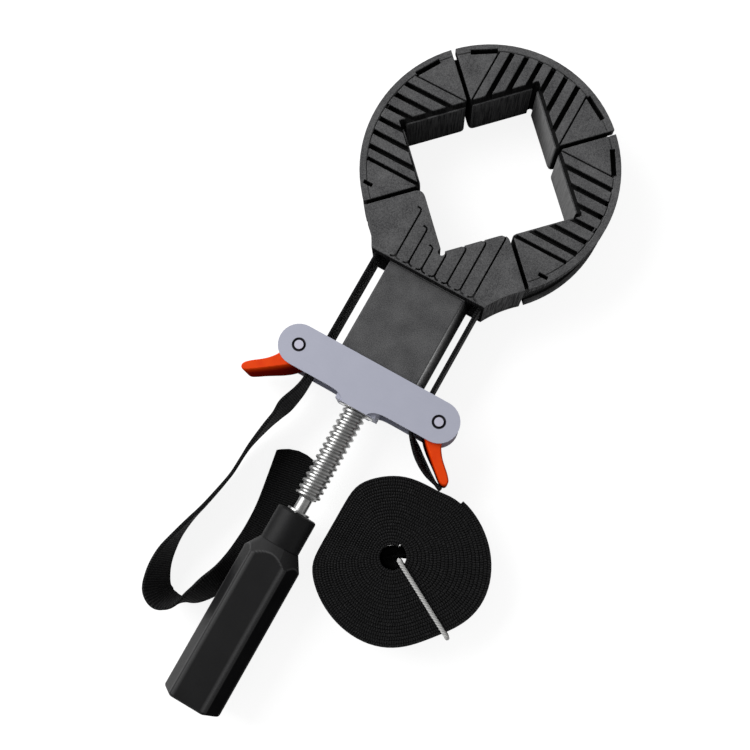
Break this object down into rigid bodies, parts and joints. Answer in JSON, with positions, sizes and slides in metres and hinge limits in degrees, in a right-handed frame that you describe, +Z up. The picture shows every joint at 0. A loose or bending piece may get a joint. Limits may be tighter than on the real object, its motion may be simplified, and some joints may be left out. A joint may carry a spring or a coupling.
{
  "type": "corner clamp",
  "caption": "Band clamp for picture frame corners: V jaws on a webbing strap, tightened by a screw, crossbar and handle, with cam levers that lock the strap.",
  "frame": {"origin": "middle of the clamp's length and width, at the height of the surface it lies on, measured without the loose webbing and its tie", "axes": "+Y along the clamp from the handle to the jaws, +X to the right seen from above, +Z up"},
  "size_m": [0.1488, 0.328, 0.033],
  "materials": {
    "grey_plastic": "dark grey moulded plastic, fine grain",
    "black_plastic": "black moulded plastic, satin",
    "orange_plastic": "orange moulded plastic, semi-gloss",
    "crossbar_zinc": "blue-grey zinc finish, satin",
    "bright_steel": "bright plated steel",
    "webbing": "black woven polyester webbing",
    "tie_cord": "light grey braided cord"
  },
  "bodies": {
    "frame": {"fixed_jaw_and_stem": "grey_plastic", "stem_pin_left": "bright_steel", "stem_pin_right": "bright_steel", "strap_run_left": "webbing", "strap_run_right": "webbing"},
    "jaw_right": {"corner_jaw_right": "grey_plastic", "strap_arc_right": "webbing"},
    "jaw_far": {"corner_jaw_far": "grey_plastic"},
    "jaw_left": {"corner_jaw_left": "grey_plastic", "strap_arc_left": "webbing"},
    "strap_far": {"strap_arc_far": "webbing"},
    "crossbar": {"crossbar_top_plate": "crossbar_zinc", "crossbar_bottom_plate": "crossbar_zinc", "crossbar_core": "crossbar_zinc", "spindle_nut": "bright_steel", "cam_pin_left": "bright_steel", "cam_pin_right": "bright_steel", "strap_grip_left": "webbing", "strap_grip_right": "webbing", "strap_tail": "webbing", "strap_lead": "webbing", "strap_coil": "webbing", "coil_tie": "tie_cord"},
    "cam_left": {"cam_lever_left": "orange_plastic"},
    "cam_right": {"cam_lever_right": "orange_plastic"},
    "screw": {"spindle": "bright_steel", "thrust_washer": "bright_steel", "handle_washer": "bright_steel", "handle": "black_plastic"}
  },
  "joints": [
    {"name": "screw_turn", "type": "hinge", "parent": "frame", "child": "screw", "pos_m": [0, -0.05, 0.0165], "axis": [0, 1, 0], "range_deg": [0, 5040]},
    {"name": "crossbar_slide", "type": "slide", "parent": "frame", "child": "crossbar", "axis": [0, -1, 0], "range_m": [0, 0.042]},
    {"name": "cam_left_turn", "type": "hinge", "parent": "crossbar", "child": "cam_left", "pos_m": [-0.0354, -0.0055, 0.0165], "axis": [0, 0, -1], "range_deg": [-6, 69]},
    {"name": "cam_right_turn", "type": "hinge", "parent": "crossbar", "child": "cam_right", "pos_m": [0.0354, -0.0055, 0.0165], "axis": [0, 0, 1], "range_deg": [0, 75]},
    {"name": "jaw_right_slide", "type": "slide", "parent": "frame", "child": "jaw_right", "axis": [0.7071, 0.7071, 0], "range_m": [0, 0.06]},
    {"name": "jaw_left_slide", "type": "slide", "parent": "frame", "child": "jaw_left", "axis": [-0.7071, 0.7071, 0], "range_m": [0, 0.06]},
    {"name": "jaw_far_slide", "type": "slide", "parent": "jaw_right", "child": "jaw_far", "axis": [-0.7071, 0.7071, 0], "range_m": [0, 0.06]},
    {"name": "strap_far_slide", "type": "slide", "parent": "jaw_left", "child": "strap_far", "axis": [0.7071, 0.7071, 0], "range_m": [0, 0.06]}
  ],
  "couplings": [
    {"joint": "screw_turn", "follows": "crossbar_slide", "rad_per_m": 2094.4},
    {"joint": "jaw_far_slide", "follows": "jaw_left_slide", "ratio": 1},
    {"joint": "strap_far_slide", "follows": "jaw_right_slide", "ratio": 1}
  ]
}
